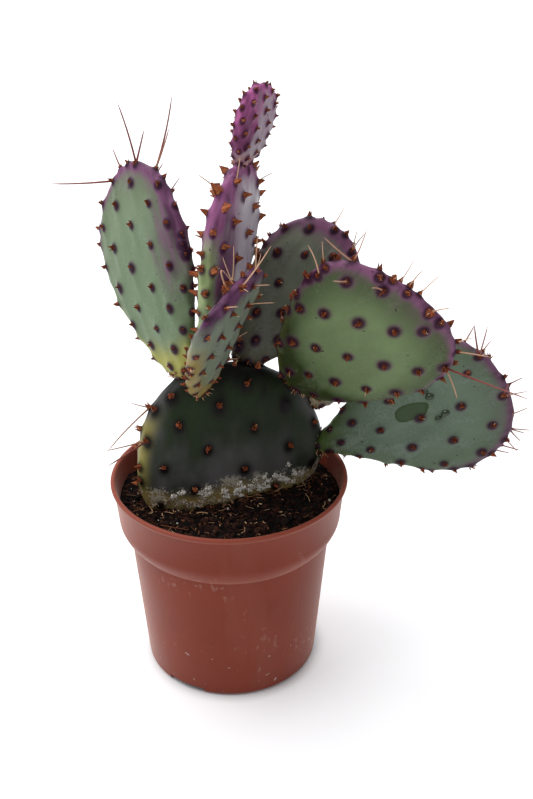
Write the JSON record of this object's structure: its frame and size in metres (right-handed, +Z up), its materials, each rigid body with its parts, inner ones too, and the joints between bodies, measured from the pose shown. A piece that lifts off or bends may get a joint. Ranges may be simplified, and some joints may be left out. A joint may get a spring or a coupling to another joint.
{
  "type": "potted paddle cactus",
  "caption": "Prickly pear with flat purple-flushed pads, tufts and spines, standing in soil in a plain terracotta-coloured plastic nursery pot.",
  "frame": {"origin": "middle of the flat underside of the pot's floor", "axes": "+Z up along the pot's axis, -Y towards the side that the plant is seen from, +X towards the low pad"},
  "size_m": [0.2353, 0.1211, 0.3008],
  "materials": {
    "pot": "terracotta-coloured moulded plastic, satin, faintly scuffed",
    "soil": "dark peat and bark with pale grains",
    "old_pad": "old dark green skin with a grey bloom, corky at the soil",
    "green_pad": "grey-green waxy skin, purple round the tufts and along the rim",
    "purple_pad": "purple and lilac waxy skin"
  },
  "bodies": {
    "root": {"pot": "pot", "soil": "soil", "pad_base": "old_pad", "pad_left": "green_pad", "pad_middle": "purple_pad", "pad_top": "purple_pad", "pad_front": "green_pad", "pad_back": "green_pad", "pad_right": "green_pad", "pad_low_right": "green_pad", "pad_behind": "green_pad"}
  },
  "joints": []
}
